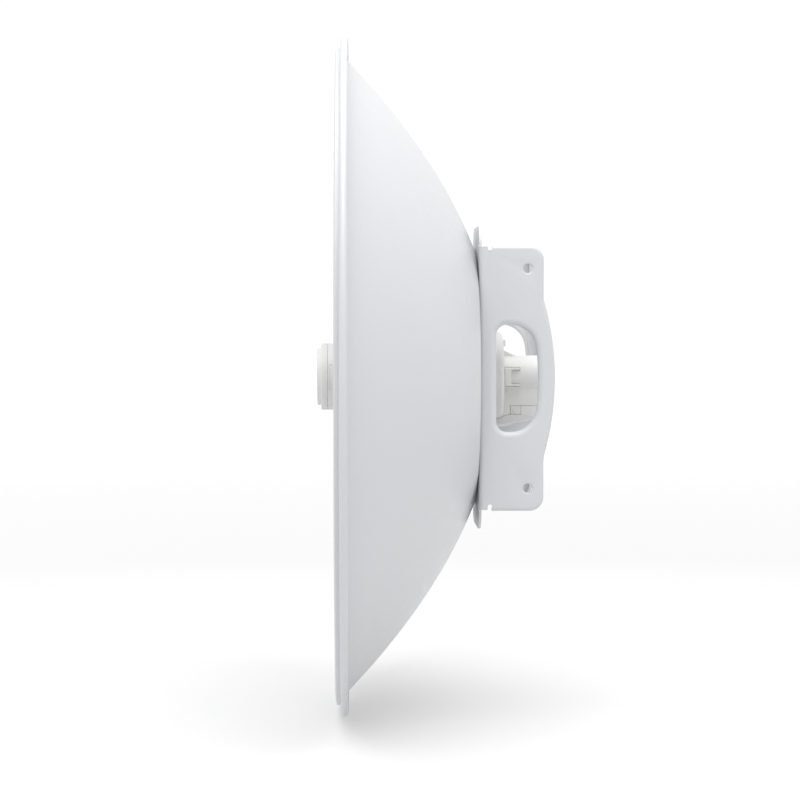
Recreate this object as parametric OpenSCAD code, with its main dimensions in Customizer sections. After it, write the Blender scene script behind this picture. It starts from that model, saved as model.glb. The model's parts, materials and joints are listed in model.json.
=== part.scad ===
// Outdoor point-to-point wireless bridge: a pressed dish reflector, a U-shaped mounting bracket with
// two hand windows, a rear housing with a removable port cover, and a feed unit that plugs in from
// the front. The boresight is -X and +Z is up. The origin is on the axis of the lower bracket bolt,
// midway between the side plates.

/* [Reflector] */
// Overall diameter over the rolled rim
dish_d = 650; // [646:1:654]
// Focal length of the parabola
dish_focus = 157; // [156:0.25:158]
// Radius of the flat seat in the middle
seat_r = 119; // [116:0.5:121]
// Thickness of the reflector sheet
dish_t = 1.0; // [0.8:0.1:1.2]
// Distance of the rim's front flange ahead of the seat
rim_depth = 129.2; // [128:0.1:130]
// Outside radius of the rolled bead round the rim
bead_r = 3.5; // [3:0.1:4]
// Outside radius of the hemmed front lip
lip_r = 314.6; // [313.5:0.1:316]
// How far the front lip stands ahead of the flange
lip_l = 4.1; // [3.5:0.1:4.5]

/* [Bracket] */
// Thickness of the bracket sheet
sheet_t = 2.5; // [2:0.1:3]
// Width over the outer faces of the side plates
bracket_w = 160; // [156:1:164]
// Height of each side plate
side_h = 248; // [244:1:252]
// Depth of each side plate at its corners
side_l = 60.4; // [58:0.2:64]
// How far the middle of the rear edge bulges out
bulge = 10.7; // [8:0.1:12]
// Height of the bulged stretch of the rear edge
bulge_h = 148; // [140:1:156]
// Radius of the side plate's rear corners
side_corner_r = 13; // [10:0.5:15]
// Depth of the flange turned inward round each side plate
flange_w = 8; // [6:0.5:10]
// Outside radius of the bend between base and side plate
bend_r = 4.5; // [2.8:0.1:5]
// Length of the plain tab beside the bend
tab_l = 8.1; // [7:0.1:9]
// Width of the relief notch behind the tab
notch_w = 4; // [3:0.1:5]
// Depth of the relief notch
notch_d = 6.3; // [5:0.1:7]
// Height of the base plate over its rounded ends
base_h = 288; // [284:1:292]
// Width of the base plate's rounded ends
base_end_w = 120; // [110:1:130]
// Corner radius of the base plate's ends
base_end_r = 24; // [18:1:40]
// How far the ends are set back from the seat
base_joggle = 1; // [0.6:0.1:1.4]

/* [Hand windows] */
// Distance of the window's front edge behind the seat
window_front = 16.2; // [15:0.1:18]
// Length of the window
window_l = 39; // [36:0.5:40]
// Height of the window
window_h = 100; // [90:1:104]
// Radius of the window's front corners
window_front_r = 9.5; // [8:0.5:12]
// Radius of the window's rear corners
window_rear_r = 24; // [18:0.5:25]
// Depth of the rolled edge round the window
window_lip = 5; // [4:0.5:6]

/* [Pole bracket bolts] */
// Diameter of the two M8 clearance bores through the side plates
bolt_d = 8.4; // [8.4:0.1:9]
// Distance between the two bores
bolt_spacing = 205.2; // [200:0.2:208]
// Distance of the bores behind the seat
bolt_setback = 45.3; // [42:0.1:48]
// Diameter of the threaded earthing hole
earth_d = 4.2; // [4.2:0.1:5]

/* [Reflector fasteners] */
// Distance across between the carriage bolts
carriage_w = 100; // [90:1:110]
// Distance up between the carriage bolts
carriage_h = 150; // [140:1:160]
// Shank diameter of the carriage bolts
carriage_d = 6; // [5:0.5:6]
// Radius of the circle of housing screws
housing_screw_r = 33; // [32:0.5:34]
// Diameter of the housing screws
housing_screw_d = 4; // [3:0.5:4]

/* [Rear housing] */
// Outside radius of the drum behind the reflector
drum_r = 43; // [42:0.5:44]
// Distance of the drum's rear face behind the seat
drum_rear = 26.2; // [25:0.1:27]
// Outside radius of the barrel
barrel_r = 20.3; // [20:0.1:21]
// Distance of the barrel's rear end behind the seat
barrel_rear = 60.5; // [60:0.1:62]
// Wall thickness of the mouldings
wall = 2.2; // [2:0.1:2.4]
// Half width of the port bay under the barrel
bay_half_w = 17; // [16.5:0.1:18]
// Height of the seam between housing and port cover, above the boresight
seam_z = -27.6; // [-29:0.1:-27]
// Gap between the housing and the port cover
seam_gap = 0.4; // [0.3:0.1:0.6]

/* [Feed] */
// Outside radius of the feed tube
tube_r = 17.8; // [17.6:0.05:17.8]
// Wall thickness of the feed tube
tube_wall = 2; // [1.8:0.1:2.1]
// Radius of the feed head
head_r = 32; // [31:0.5:33]
// Distance of the feed head's front shoulder ahead of the seat
head_front = 148.4; // [147:0.1:150]
// Radius of the raised cap on the feed head
cap_r = 27.4; // [26:0.1:28]
// Height of the raised cap
cap_h = 4.2; // [4:0.1:5]

/* [Hidden] */

$fn = 96;
eps = 0.01;                 // overlap that joins two shapes of one piece
bore_gap = 0.05;            // radial play of a screw in its hole
move_gap = 0.35;            // clearance round a piece that moves

// reflector
dish_apex = seat_r * seat_r / (4 * dish_focus);
well_r = 200;               // where the well of the bowl meets its outer part
well_steps = 8;
curve_steps = 16;
bead_steps = 8;
bead_c_r = dish_d / 2 - bead_r;
bead_c_x = bead_r - rim_depth;
hub_hole_r = 27.4;

// side plate
half_w = bracket_w / 2;
bulge_r = (bulge_h * bulge_h / 4 + bulge * bulge) / (2 * bulge);
roll_start = tab_l + notch_w;
window_rear = window_front + window_l;
swell_r = bulge_r - (side_l + bulge - window_rear);     // the window's rear side follows the bulge
window_corner_z = window_h / 2 - window_rear_r;
window_corner_x = window_rear - swell_r + sqrt(pow(swell_r - window_rear_r, 2) - pow(window_corner_z, 2));
joggle_z = 122;             // where the base plate's ends step back
earth_z = 13 - base_h / 2;

// mouldings
barrel_in_r = barrel_r - wall;
seat_gasket_t = 1;
drum_front = sheet_t + seat_gasket_t;
bay_in_w = bay_half_w - wall;
step_x = 33;                // where the seam steps down
step_z = -35.3;
bay_front = 5;
skirt_z = -38;              // where the skirts leave the drum
step_slope = 0.369;         // fall of the seam ahead of the step
floor_rear_z = -39.7;       // underside of the cover at its rear end
floor_slope = 0.197;        // fall of the underside towards the reflector
cover_x = step_x + seam_gap;
latch_l = 10;
latch_z = step_z - 0.8;
clip_x = 27.2;
clip_block = 6.9;
clip_l = 15;
clip_half_h = 9;
clip_arm = 2.2;
clip_stand = 3;             // how far the clip stands out of the barrel
clip_travel = 1.5;
clip_in_r = barrel_in_r + clip_travel;
gland_x = 50;
gland_r = 5.2;
gland_bore_r = 3;
status_z = 8;

// feed
head_seam = 142;
tube_in_r = tube_r - tube_wall;
tube_front = -104;
tube_rear = 55;
board_z = 1;
board_t = 1.6;
spreader_z = 4.2;
jack_x = [36, 51];
jack_half_w = 8.2;
jack_mouth_z = -14.5;
reset_x = 29;
reset_r = 1.6;

// Height of the sloping seam and of the cover's underside, x behind the seat
function seam_at(x) = step_z - (step_x - x) * step_slope;
function floor_at(x) = floor_rear_z - (barrel_rear - x) * floor_slope;

// A point of the reflector's rear surface, and the same point moved through the sheet to the front
function dish_x(r) = dish_apex - r * r / (4 * dish_focus);
function dish_r(x) = sqrt((dish_apex - x) * 4 * dish_focus);
function dish_front(r) =
    let (slope = r / (2 * dish_focus), n = sqrt(1 + slope * slope))
    [r - dish_t * slope / n, dish_x(r) - dish_t / n];

// Points of an arc, counter-clockwise from angle a to angle b
function arc(c, r, a, b, steps) =
    [for (i = [0 : steps]) let (t = a + (b - a) * i / steps) [c[0] + r * cos(t), c[1] + r * sin(t)]];

// ---- placing -------------------------------------------------------------

// Puts the reflector seat's centre at the origin
module at_seat() translate([-bolt_setback, 0, bolt_spacing / 2]) children();

// A turned piece: points are [radius, distance behind the seat]
module turned(points) at_seat() rotate([0, 90, 0]) rotate_extrude() polygon(points);

// A cylinder along the boresight, from x0 to x1 behind the seat
module rod(r, x0, x1, y = 0, z = 0, sides = 96)
    translate([x0, y, z]) rotate([0, 90, 0]) cylinder(r = r, h = x1 - x0, $fn = sides);

// An outline in Y and Z, given thickness t back from x
module across(x, t) translate([x, 0, 0]) rotate([90, 0, 90]) linear_extrude(t) children();

// An outline in X and Z, given thickness t from y towards +Y
module along(y, t) translate([0, y + t, 0]) rotate([90, 0, 0]) linear_extrude(t) children();

module block(low, high) translate(low) cube(high - low);

// ---- outlines ------------------------------------------------------------

// A rectangle from x0 to x1, with its own corner radius at each end
module d_shape(x0, x1, h, r0, r1) {
    translate([x0 + r0, -h / 2]) square([x1 - x0 - r0 - r1, h]);
    translate([x0, r0 - h / 2]) square([x1 - x0 - r1, h - 2 * r0]);
    translate([x0 + r0, r1 - h / 2]) square([x1 - x0 - r0, h - 2 * r1]);
    for (s = [-1, 1]) {
        translate([x0 + r0, s * (h / 2 - r0)]) circle(r0);
        translate([x1 - r1, s * (h / 2 - r1)]) circle(r1);
    }
}

module round_rect(w, h, r) {
    square([w - 2 * r, h], center = true);
    square([w, h - 2 * r], center = true);
    for (x = [-1, 1], y = [-1, 1]) translate([x * (w / 2 - r), y * (h / 2 - r)]) circle(r);
}

// The side plate's edge, moved in by inset, for the stretch behind the bend
module side_outline(inset = 0) {
    r = side_corner_r - inset;
    top = side_h / 2 - inset;
    end = side_l - inset;
    translate([bend_r, -top]) square([end - bend_r - r, 2 * top]);
    translate([bend_r, r - top]) square([end - bend_r, 2 * (top - r)]);
    for (s = [-1, 1]) translate([end - r, s * (top - r)]) circle(r);
    intersection() {
        translate([side_l + bulge - bulge_r, 0]) circle(bulge_r - inset, $fn = 360);
        translate([side_l - side_corner_r, -side_h / 2]) square([side_corner_r + bulge + 1, side_h]);
    }
}

module window_outline(grow = 0) {
    swell_z = window_corner_z * (swell_r + grow) / (swell_r - window_rear_r);
    d_shape(window_front - grow, window_corner_x + window_rear_r + grow, window_h + 2 * grow,
            window_front_r + grow, window_rear_r + grow);
    intersection() {
        translate([window_rear - swell_r, 0]) circle(swell_r + grow, $fn = 360);
        translate([window_corner_x, -swell_z]) square([window_l, 2 * swell_z]);
    }
}

module at_carriage_bolts()
    for (y = [-1, 1], z = [-1, 1]) translate([0, y * carriage_w / 2, z * carriage_h / 2]) children();

module at_housing_screws()
    for (a = [45 : 90 : 315]) translate([0, housing_screw_r * cos(a), housing_screw_r * sin(a)]) children();

// ---- reflector and bracket -----------------------------------------------

// The pressed bowl is one sheet, kept as an outer part, a well in four quarters and a flat seat.
// Rear and front points of the parabola from radius a to radius b, and back
function sheet(a, b, steps) = concat(
    [for (i = [0 : steps]) let (r = a + (b - a) * i / steps) [r, dish_x(r)]],
    [for (i = [steps : -1 : 0]) dish_front(a + (b - a) * i / steps)]
);

// Outer part of the bowl, a flange rolled back into an open bead, and a hemmed front lip
module reflector() {
    back_end_r = dish_r(dish_t - rim_depth);
    edge_r = dish_r(-rim_depth - lip_l);
    bead_c = [bead_c_r, bead_c_x];
    color("white") turned(concat(
        [for (i = [0 : curve_steps]) let (r = well_r + (back_end_r - well_r) * i / curve_steps) [r, dish_x(r)]],
        arc(bead_c, bead_r - dish_t, -90, 90, bead_steps),
        arc(bead_c, bead_r, 90, -90, bead_steps),
        [[lip_r, -rim_depth], [lip_r, -rim_depth - lip_l]],
        [for (i = [curve_steps : -1 : 0]) dish_front(well_r + (edge_r - well_r) * i / curve_steps)]
    ));
}

module well_quarter(y, z) color("white") intersection() {
    turned(sheet(seat_r, well_r, well_steps));
    at_seat() translate([-rim_depth, min(y, 0) * well_r, min(z, 0) * well_r])
        cube([rim_depth + 1, well_r, well_r]);
}

module reflector_well_upper_left() well_quarter(-1, 1);
module reflector_well_upper_right() well_quarter(1, 1);
module reflector_well_lower_left() well_quarter(-1, -1);
module reflector_well_lower_right() well_quarter(1, -1);

module reflector_seat() color("white") difference() {
    turned([
        [hub_hole_r, 0], [seat_r, 0], dish_front(seat_r), [seat_r - dish_t, -dish_t], [hub_hole_r, -dish_t]
    ]);
    at_seat() {
        at_carriage_bolts() rod(carriage_d / 2 + 0.4, -5, 5);
        at_housing_screws() rod(housing_screw_d / 2 + 0.3, -5, 5);
    }
}

// One side plate with its bend, inward flange, hand window and bolt bores, on the -Y side
module side_plate() {
    outer = -half_w;
    difference() {
        union() {
            along(outer, sheet_t) side_outline();
            along(outer, flange_w) difference() {
                side_outline();
                side_outline(sheet_t);
                translate([-1, -side_h / 2 - 1]) square([roll_start + 1, side_h + 2]);
            }
            along(outer, window_lip) window_outline(sheet_t);
        }
        along(outer - 1, window_lip + 2) window_outline();
        for (s = [-1, 1]) {
            along(outer - 1, flange_w + 2)
                translate([tab_l, s * (side_h / 2 - notch_d / 2 + eps) - notch_d / 2]) square([notch_w, notch_d]);
            along(outer - 1, sheet_t + 2) translate([0, s * side_h / 2 - 1]) square([tab_l + eps, 2]);
            along(outer - 1, sheet_t + 2) translate([bolt_setback, s * bolt_spacing / 2]) circle(bolt_d / 2);
        }
    }
    translate([0, 0, 1 - side_h / 2]) linear_extrude(side_h - 2) difference() {
        intersection() {
            translate([bend_r, outer + bend_r]) circle(bend_r);
            translate([-1, outer - 1]) square([bend_r + 1 + eps, bend_r + 1]);
        }
        translate([bend_r, outer + bend_r]) circle(bend_r - sheet_t);
    }
}

// Flat plate on the reflector's seat, with rounded ends set back past it
module bracket_base() color("gainsboro") at_seat() difference() {
    union() {
        across(0, sheet_t) {
            square([bracket_w - 2 * bend_r, side_h - 2], center = true);
            intersection() {
                round_rect(base_end_w, base_h, base_end_r);
                square([bracket_w, 2 * joggle_z + sheet_t], center = true);
            }
        }
        across(base_joggle, sheet_t) difference() {
            round_rect(base_end_w, base_h, base_end_r);
            square([bracket_w, 2 * joggle_z], center = true);
        }
    }
    rod(hub_hole_r, -5, 5);
    at_carriage_bolts() rod(carriage_d / 2 + 0.4, -5, 5);
    at_housing_screws() rod(housing_screw_d / 2 + 0.3, -5, 5);
    rod(earth_d / 2, -5, 5, 36, earth_z, 48);
}

module bracket_side_left() color("gainsboro") at_seat() side_plate();
module bracket_side_right() color("gainsboro") at_seat() mirror([0, 1, 0]) side_plate();

// Mushroom heads in the bowl, shanks through the seat and the base plate
module carriage_bolts() color("silver") at_seat() at_carriage_bolts() {
    rotate([0, 90, 0]) rotate_extrude($fn = 48) polygon(concat(
        [[0, 12], [carriage_d / 2, 12], [carriage_d / 2, -dish_t], [8, -dish_t]],
        [for (i = [0 : 5]) let (a = 18 * i) [8 * cos(a), -dish_t - 0.6 - 2.4 * sin(a)]]
    ));
}

module flange_nuts() color("silver") at_seat() at_carriage_bolts() difference() {
    union() {
        rod(6.8, sheet_t, sheet_t + 1.2, sides = 48);
        rod(5.8, sheet_t + 1, sheet_t + 6, sides = 6);
    }
    rod(carriage_d / 2 + bore_gap, 0, 12, sides = 48);
}

// ---- rear housing --------------------------------------------------------

module clip_outline(grow = 0) difference() {
    translate([clip_x - grow, -clip_half_h - grow]) square([clip_l + 2 * grow, 2 * (clip_half_h + grow)]);
    translate([clip_x + clip_block + grow, clip_arm + grow - clip_half_h])
        square([clip_l, 2 * (clip_half_h - clip_arm - grow)]);
}

// Side walls of the port bay, and the skirts that carry them forward under the drum
module bay_outline() {
    polygon([
        [drum_rear - 1, -12], [barrel_rear, -12], [barrel_rear, seam_z], [step_x, seam_z],
        [step_x, step_z], [drum_rear - 1, seam_at(drum_rear - 1)]
    ]);
    polygon([
        [bay_front, skirt_z], [bay_front, seam_at(bay_front)],
        [step_x - (step_z - skirt_z) / step_slope, skirt_z]
    ]);
}

module rear_housing() color("whitesmoke") at_seat() difference() {
    union() {
        // drum, hollow towards the reflector
        difference() {
            rod(drum_r, drum_front, drum_rear);
            rod(drum_r - wall, drum_front - 1, drum_rear - wall);
        }
        at_housing_screws() rod(4.6, drum_front, drum_rear - 1);
        // hub through the base plate and the reflector, and the barrel
        rod(hub_hole_r - 0.4, -dish_t - 2, drum_front + 4);
        rod(barrel_r, 0, barrel_rear);
        // port bay
        difference() {
            along(-bay_half_w, 2 * bay_half_w) bay_outline();
            block([0, -bay_in_w, -60], [barrel_rear - wall, bay_in_w, -12.5]);
        }
        // gusset and tie nub above the barrel
        along(-6, 12) polygon([
            [drum_rear - 1, 15], [drum_rear - 1, 26.8], [drum_rear, 26.3], [40.5, 19.6], [40.5, 15]
        ]);
        along(-2, 4) polygon([[drum_rear - 1, 29.2], [28.6, 29.2], [29.6, 30.4], [29.6, 34.4],
                              [28.6, 35.6], [drum_rear - 1, 35.6]]);
    }
    rod(barrel_in_r, -10, barrel_rear - wall);
    at_housing_screws() rod(housing_screw_d / 2 + bore_gap, drum_front - 1, drum_front + 16);
    // way from the bay up to the feed's port
    block([drum_rear + 0.5, -10, -25], [barrel_rear - wall - 1, 10, 0]);
    // slots of the release clips, which leave a tongue of the barrel inside each clip
    along(-barrel_r - 5, 2 * barrel_r + 10) clip_outline(move_gap);
    // slot of the status window
    block([barrel_rear - wall - 1, -7.5, status_z - 1.7], [barrel_rear + 1, 7.5, status_z + 1.7]);
}

module housing_gasket() color("dimgray") at_seat() difference() {
    rod(drum_r - 0.4, sheet_t, drum_front);
    rod(drum_r - wall - 1, 0, 10);
}

module housing_screws() color("silver") at_seat() at_housing_screws() {
    rod(housing_screw_d / 2, -dish_t - 0.5, drum_front + 12, sides = 48);
    difference() {
        rod(3.6, -dish_t - 2.4, -dish_t, sides = 48);
        rod(1.7, -dish_t - 3, -dish_t - 0.9, sides = 6);
    }
}

module status_window() color("lightgray") at_seat()
    block([barrel_rear - wall, -7.4, status_z - 1.6], [barrel_rear, 7.4, status_z + 1.6]);

// C-shaped release clip on the -Y side, open to the rear
module release_clip() difference() {
    along(-barrel_r - clip_stand, 12) clip_outline();
    rod(clip_in_r, 0, barrel_rear);
}

module release_clip_left() color("gainsboro") at_seat() release_clip();
module release_clip_right() color("gainsboro") at_seat() mirror([0, 1, 0]) release_clip();

// ---- port cover ----------------------------------------------------------

module cover_outline() polygon([
    [cover_x, seam_z - seam_gap], [barrel_rear, seam_z - seam_gap], [barrel_rear, floor_at(barrel_rear)],
    [bay_front, floor_at(bay_front)], [bay_front, seam_at(bay_front) - seam_gap], [cover_x, step_z - seam_gap]
]);

module latch_outline(grow = 0)
    translate([cover_x - grow, latch_z - grow])
        square([latch_l + 2 * grow, seam_z - seam_gap - latch_z + 2 * grow]);

module port_cover() color("whitesmoke") at_seat() {
    difference() {
        along(-bay_half_w, 2 * bay_half_w) cover_outline();
        along(-bay_in_w, 2 * bay_in_w) polygon([
            [bay_front + wall, 0], [barrel_rear - wall, 0],
            [barrel_rear - wall, floor_at(barrel_rear - wall) + wall],
            [bay_front + wall, floor_at(bay_front + wall) + wall]
        ]);
        along(-bay_half_w - 1, 2 * bay_half_w + 2) latch_outline(move_gap);
        rod(drum_r + seam_gap, 0, drum_rear + seam_gap);
        translate([gland_x, 0, -60]) cylinder(r = gland_r, h = 30);
    }
    // gland collar
    translate([gland_x, 0, 0]) difference() {
        intersection() {
            translate([0, 0, -50]) cylinder(r = gland_r + wall, h = 15);
            along(-10, 20) polygon([
                [-20, 0], [8, 0], [8, floor_at(gland_x + 8) + 1], [-20, floor_at(gland_x - 20) + 1]
            ]);
        }
        translate([0, 0, -60]) cylinder(r = gland_r, h = 30);
    }
    // guide tongues that slide up inside the bay
    for (s = [-1, 1])
        translate([0, s * (bay_in_w - move_gap - 0.9), 0]) {
            block([46, -0.9, floor_at(46) + 1], [54, 0.9, -21]);
            block([46, s > 0 ? 0 : -1 - move_gap, floor_at(46) + 1], [54, s > 0 ? 1 + move_gap : 0, seam_z - 2]);
        }
}

// Latch pad on the -Y side: a pad in the cover's corner, a raised chevron, and an arm up into the bay
module cover_latch() {
    along(-bay_half_w, wall) latch_outline();
    along(-bay_half_w - 0.5, 1) translate([cover_x + latch_l / 2, -32.6])
        polygon([[-2.8, 1.2], [0, -0.6], [2.8, 1.2], [2.8, -0.2], [0, -2], [-2.8, -0.2]]);
    block([cover_x + 2, -bay_in_w - 0.1, seam_z - 5], [cover_x + 8, -bay_in_w + 2.4, seam_z - 2]);
    block([cover_x + 2, -bay_in_w + move_gap + 0.4, seam_z - 5], [cover_x + 8, -bay_in_w + 2.4, seam_z + 5]);
}

module cover_latch_left() color("whitesmoke") at_seat() cover_latch();
module cover_latch_right() color("whitesmoke") at_seat() mirror([0, 1, 0]) cover_latch();

module cable_grommet() color("dimgray") at_seat() translate([gland_x, 0, 0]) difference() {
    union() {
        translate([0, 0, -41]) cylinder(r = gland_r, h = 6);
        translate([0, 0, -35]) cylinder(r = gland_r + 1.4, h = 1.5);
    }
    translate([0, 0, -50]) cylinder(r = gland_bore_r, h = 30);
}

// ---- feed ----------------------------------------------------------------

module feed_tube() color("whitesmoke") at_seat() difference() {
    rod(tube_r, tube_front, tube_rear);
    rod(tube_in_r, tube_front - 1, tube_rear + 1);
    // locking groove under the release clips, and the O-ring's groove
    difference() {
        rod(tube_r + 1, clip_x, clip_x + clip_block);
        rod(tube_r - 1, clip_x - 1, clip_x + clip_block + 1);
    }
    difference() {
        rod(tube_r + 1, 2, 4);
        rod(tube_r - 1.25, 1, 5);
    }
    // port opening and reset hole
    block([jack_x[0] - 1.5, -9.7, -20], [jack_x[1] + 1.5, 9.7, -8]);
    translate([reset_x, 0, -20]) cylinder(r = reset_r + move_gap, h = 10);
}

module feed_rear_shell() color("whitesmoke") turned([
    [tube_r, -98], [tube_r + wall, -98], [tube_r + wall, -106], [head_r, -128], [head_r, 0.2 - head_seam],
    [head_r - wall, 0.2 - head_seam], [head_r - wall, -129], [tube_r, -104.6]
]);

module feed_front_shell() color("whitesmoke") {
    front = -head_front - cap_h;
    in_r = head_r - wall;
    turned([
        [0, front], [cap_r * 0.5, front + 0.15], [cap_r - 1.2, front + 0.6], [cap_r, front + 1.6],
        [cap_r, -head_front], [head_r - 1, -head_front], [head_r, -head_front + 1],
        [head_r, -head_seam - 0.2], [in_r, -head_seam - 0.2], [in_r, -head_front + wall],
        [cap_r - wall, -head_front + wall], [cap_r - wall, front + wall + 0.6], [0, front + wall]
    ]);
}

module head_seal() color("dimgray") turned([
    [head_r - 0.7, -head_seam - 0.2], [head_r - 0.7, 0.2 - head_seam],
    [head_r - wall + 0.1, 0.2 - head_seam], [head_r - wall + 0.1, -head_seam - 0.2]
]);

// Shallow metal cone that turns the signal back to the bowl
module sub_reflector() color("silver") turned([
    [0, -149], [3, -149], [29.4, -145.6], [29.4, -144.4], [3, -147.8], [0, -147.8]
]);

module radiator() color("darkgoldenrod") turned([[2.1, -135.2], [20, -135.2], [20, -134.4], [2.1, -134.4]]);

module radiator_carrier() color("gray") turned([
    [16, -134.4], [head_r - wall, -134.4], [head_r - wall, -129.5], [26, -129.5], [26, -131.5], [16, -131.5]
]);

module feed_probe() color("goldenrod") turned([[0.8, -146], [2, -146], [2, -100], [0.8, -100]]);

module feed_o_ring() color("dimgray") at_seat() translate([3, 0, 0]) rotate([0, 90, 0])
    rotate_extrude() translate([tube_r - 0.5, 0]) circle(0.74, $fn = 32);

module circuit_board() color("darkgreen") at_seat() difference() {
    block([-99, -15, board_z], [50, 15, board_z + board_t]);
    at_board_screws() cylinder(r = 1.3, h = 10, center = true, $fn = 32);
}

module at_board_screws()
    for (x = [-82, 12], y = [-11, 11]) translate([x, y, board_z]) children();

// The spreader's flat face is above the board, and the screws come up from below
module heat_spreader() color("silver") at_seat() difference() {
    across(-90, 110) intersection() {
        circle(tube_in_r - 0.3);
        translate([-20, spreader_z]) square([40, 20]);
    }
    at_board_screws() cylinder(r = 1 + bore_gap, h = 10, $fn = 32);
}

module board_screws() color("gray") at_seat() at_board_screws() {
    cylinder(r = 1, h = 7, $fn = 32);
    translate([0, 0, -1.2]) cylinder(r = 1.9, h = 1.2, $fn = 32);
}

module thermal_pads() color("lightblue") at_seat() for (x = [-72, -24])
    block([x, -9, board_z + board_t], [x + 28, 9, spreader_z]);

module shield_cans() color("lightsteelblue") at_seat() for (x = [[-76, -36], [-30, 4]]) difference() {
    block([x[0], -9, board_z - 5], [x[1], 9, board_z]);
    block([x[0] + 0.4, -8.6, board_z - 4.6], [x[1] - 0.4, 8.6, board_z + 1]);
}

// Eight-way socket that opens downward, with its latch keyway towards the rear
module network_jack() color("silver") at_seat() difference() {
    block([jack_x[0], -jack_half_w, jack_mouth_z], [jack_x[1], jack_half_w, board_z]);
    block([jack_x[0] + 2.6, -6, jack_mouth_z - 1], [jack_x[1] - 4.4, 6, -2]);
    block([jack_x[1] - 4.5, -3.2, jack_mouth_z - 1], [jack_x[1] - 1.6, 3.2, -3]);
}

module jack_seal() color("dimgray") at_seat() difference() {
    block([jack_x[0] - 1.4, -9.6, -14.4], [jack_x[1] + 1.4, 9.6, -12.8]);
    block([jack_x[0], -jack_half_w, -20], [jack_x[1], jack_half_w, 0]);
}

module reset_switch() color("black") at_seat()
    block([reset_x - 2.5, -2.5, board_z - 3.5], [reset_x + 2.5, 2.5, board_z]);

module reset_button() color("dimgray") at_seat() translate([reset_x, 0, 0]) {
    translate([0, 0, -17]) cylinder(r = reset_r, h = 13.5, $fn = 32);
    translate([0, 0, -13.5]) cylinder(r = 3, h = 1, $fn = 32);
}

// Four light pipes joined by a bar behind the board
module light_guide() color("lightcyan") at_seat() {
    block([50.3, -7, status_z - 1.2], [51.8, 7, status_z + 1.2]);
    for (y = [-6 : 4 : 6]) rod(1, 51, 57.2, y, status_z, 32);
}

module tube_end_plug() color("whitesmoke") at_seat() difference() {
    union() {
        rod(tube_in_r, 52.5, tube_rear);
        rod(tube_r, tube_rear, tube_rear + 1.6);
    }
    for (y = [-6 : 4 : 6]) rod(1 + bore_gap, 50, 60, y, status_z, 32);
    for (y = [-11, 11]) rod(1 + bore_gap, 50, 60, y, 0, 32);
}

module end_plug_screws() color("gray") at_seat() for (y = [-11, 11]) {
    rod(1, 51.2, 57, y, 0, 32);
    rod(1.6, tube_rear + 1.6, tube_rear + 2.4, y, 0, 32);
}

reflector();
reflector_seat();
reflector_well_upper_left();
reflector_well_upper_right();
reflector_well_lower_left();
reflector_well_lower_right();
bracket_base();
bracket_side_left();
bracket_side_right();
carriage_bolts();
flange_nuts();
rear_housing();
housing_gasket();
housing_screws();
status_window();
release_clip_left();
release_clip_right();
port_cover();
cover_latch_left();
cover_latch_right();
cable_grommet();
feed_tube();
feed_rear_shell();
feed_front_shell();
head_seal();
sub_reflector();
radiator();
radiator_carrier();
feed_probe();
feed_o_ring();
circuit_board();
board_screws();
heat_spreader();
thermal_pads();
shield_cans();
network_jack();
jack_seal();
reset_switch();
reset_button();
light_guide();
tube_end_plug();
end_plug_screws();
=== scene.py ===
"""Looks for the outdoor wireless bridge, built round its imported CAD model.

Lengths in the piece builders are millimetres from the middle of the reflector's seat: x back towards
the pole, y along the bolts, z up. place() turns them into the row frame's metres.
"""

import json
import math

import bmesh
import bpy
from mathutils import Matrix, Vector
from mathutils.geometry import tessellate_polygon

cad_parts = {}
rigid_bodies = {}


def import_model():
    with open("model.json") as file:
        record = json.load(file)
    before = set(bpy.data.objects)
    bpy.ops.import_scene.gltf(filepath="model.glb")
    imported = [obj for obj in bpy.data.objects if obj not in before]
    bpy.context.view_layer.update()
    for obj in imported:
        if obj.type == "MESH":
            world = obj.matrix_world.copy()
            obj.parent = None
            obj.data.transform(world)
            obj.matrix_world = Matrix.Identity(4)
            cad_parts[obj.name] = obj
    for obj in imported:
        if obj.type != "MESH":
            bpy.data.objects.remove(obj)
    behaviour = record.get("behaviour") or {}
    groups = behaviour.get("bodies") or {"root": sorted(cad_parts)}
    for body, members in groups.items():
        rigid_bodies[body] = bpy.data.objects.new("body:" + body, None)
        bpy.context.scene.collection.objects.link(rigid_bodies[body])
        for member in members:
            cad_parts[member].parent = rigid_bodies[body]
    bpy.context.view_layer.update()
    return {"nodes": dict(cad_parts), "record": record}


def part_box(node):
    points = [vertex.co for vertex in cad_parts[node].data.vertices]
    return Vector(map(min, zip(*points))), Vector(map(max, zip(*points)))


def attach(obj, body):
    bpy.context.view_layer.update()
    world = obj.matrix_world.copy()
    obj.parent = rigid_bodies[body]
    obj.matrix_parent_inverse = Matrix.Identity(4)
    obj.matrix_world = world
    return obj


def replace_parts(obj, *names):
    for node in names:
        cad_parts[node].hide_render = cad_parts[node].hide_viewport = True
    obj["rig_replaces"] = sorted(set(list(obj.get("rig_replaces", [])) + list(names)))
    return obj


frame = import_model()

MM = 0.001
REFLECTOR_LOW, REFLECTOR_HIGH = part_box("reflector")
SEAT = Vector((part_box("reflector_seat")[1].x, 0, (REFLECTOR_LOW.z + REFLECTOR_HIGH.z) / 2))


def place(p):
    return SEAT + Vector(p) * MM


def seat_mm(point):
    """A row-frame point as millimetres from the seat."""
    return (Vector(point) - SEAT) / MM


# ---- sizes, in millimetres from the seat ------------------------------------

RIM_R = (REFLECTOR_HIGH.z - REFLECTOR_LOW.z) / 2 / MM
FOCUS = 157.0
SEAT_R = 119.0
DISH_T = 1.0
RIM_DEPTH = 129.2
BEAD_R = 3.5
LIP_R = 314.6
LIP_L = 4.1
HUB_HOLE_R = 27.4

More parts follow.
